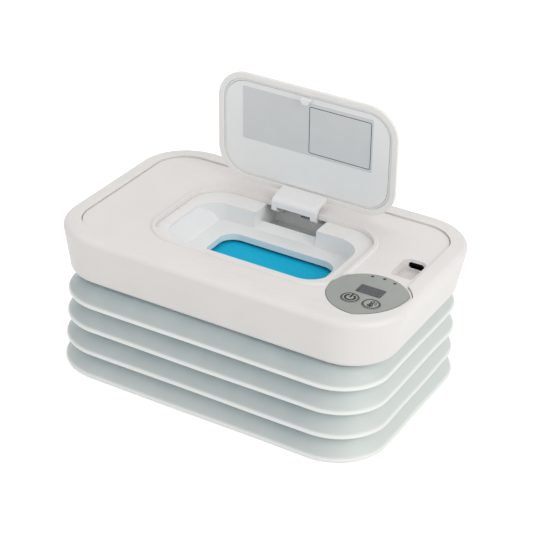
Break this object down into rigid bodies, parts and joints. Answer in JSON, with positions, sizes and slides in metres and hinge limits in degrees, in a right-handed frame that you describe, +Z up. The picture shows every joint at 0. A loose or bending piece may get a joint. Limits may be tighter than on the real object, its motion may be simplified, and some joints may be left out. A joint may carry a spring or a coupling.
{
  "type": "baby wipe warmer",
  "caption": "Collapsible baby wipe warmer: a heated rectangular head with a flip lid over a dispensing slot, on a folding bellows bag with a pack of wipes.",
  "frame": {"origin": "middle of the bag's resting face, on the surface that it stands on", "axes": "+X along the long side towards the controls, +Y away from the user towards the lid's hinge, +Z up"},
  "size_m": [0.2, 0.1372, 0.1517],
  "materials": {
    "bag_silicone": "translucent satin silicone",
    "pack_film": "glossy printed film, bare",
    "white_abs": "fine moulded texture",
    "well_abs": "satin",
    "plate_aluminium": "brushed",
    "heater_film": "polyimide film",
    "pad_foam": "closed-cell foam",
    "black_parts": "moulded",
    "fuse_ceramic": "ceramic",
    "board_green": "solder mask",
    "display_body": "moulded",
    "smoked_lens": "smoked, glossy",
    "grey_disc": "satin",
    "led_lens": "tinted",
    "grey_keys": "satin",
    "socket_black": "blackened steel",
    "lead_red": "PVC insulation",
    "lead_black": "PVC insulation",
    "screw_steel": "zinc plated",
    "spring_steel": "spring wire",
    "seal_silicone": "soft, matt"
  },
  "bodies": {
    "base": {"bag_floor": "bag_silicone", "bellows": "bag_silicone", "wipe_pack": "pack_film"},
    "collar": {"bag_rim": "white_abs"},
    "head": {"outer_shell": "white_abs", "top_panel": "white_abs", "well_frame": "well_abs", "bottom_cover": "well_abs", "heating_plate": "plate_aluminium", "heating_film": "heater_film", "insulating_pad": "pad_foam", "temperature_sensor": "black_parts", "thermal_fuse": "fuse_ceramic", "control_board": "board_green", "display_module": "display_body", "display_window": "smoked_lens", "control_disc": "grey_disc", "indicator_leds": "led_lens", "key_switches": "black_parts", "usb_board": "board_green", "usb_socket": "socket_black", "heater_leads": "lead_red", "usb_leads": "lead_black", "case_screws": "screw_steel", "board_screws": "screw_steel", "hinge_pin": "screw_steel", "torsion_spring": "spring_steel"},
    "power_button": {"power_key": "grey_keys"},
    "heat_button": {"heat_key": "grey_keys"},
    "lid": {"lid_shell": "white_abs", "lid_liner": "well_abs", "lid_seal": "seal_silicone", "hinge_arm": "well_abs"}
  },
  "joints": [
    {"name": "bag_collapse", "type": "slide", "parent": "base", "child": "collar", "axis": [0, 0, 1], "range_m": [-0.032, 0], "stiffness_N_per_m": 260, "springref_m": 0.03, "deforming": ["bellows", "wipe_pack"]},
    {"name": "head_lift", "type": "slide", "parent": "collar", "child": "head", "axis": [0, 0, 1], "range_m": [0, 0.04]},
    {"name": "lid_hinge", "type": "hinge", "parent": "head", "child": "lid", "pos_m": [0.0032, 0.0365, 0.0768], "axis": [1, 0, 0], "range_deg": [0, 85.3], "stiffness_Nm_per_rad": 0.02, "springref_deg": -34.38},
    {"name": "power_press", "type": "slide", "parent": "head", "child": "power_button", "axis": [0, 0, -1], "range_m": [0, 0.0006], "stiffness_N_per_m": 900, "springref_m": -0.0006},
    {"name": "heat_press", "type": "slide", "parent": "head", "child": "heat_button", "axis": [0, 0, -1], "range_m": [0, 0.0006], "stiffness_N_per_m": 900, "springref_m": -0.0006}
  ]
}
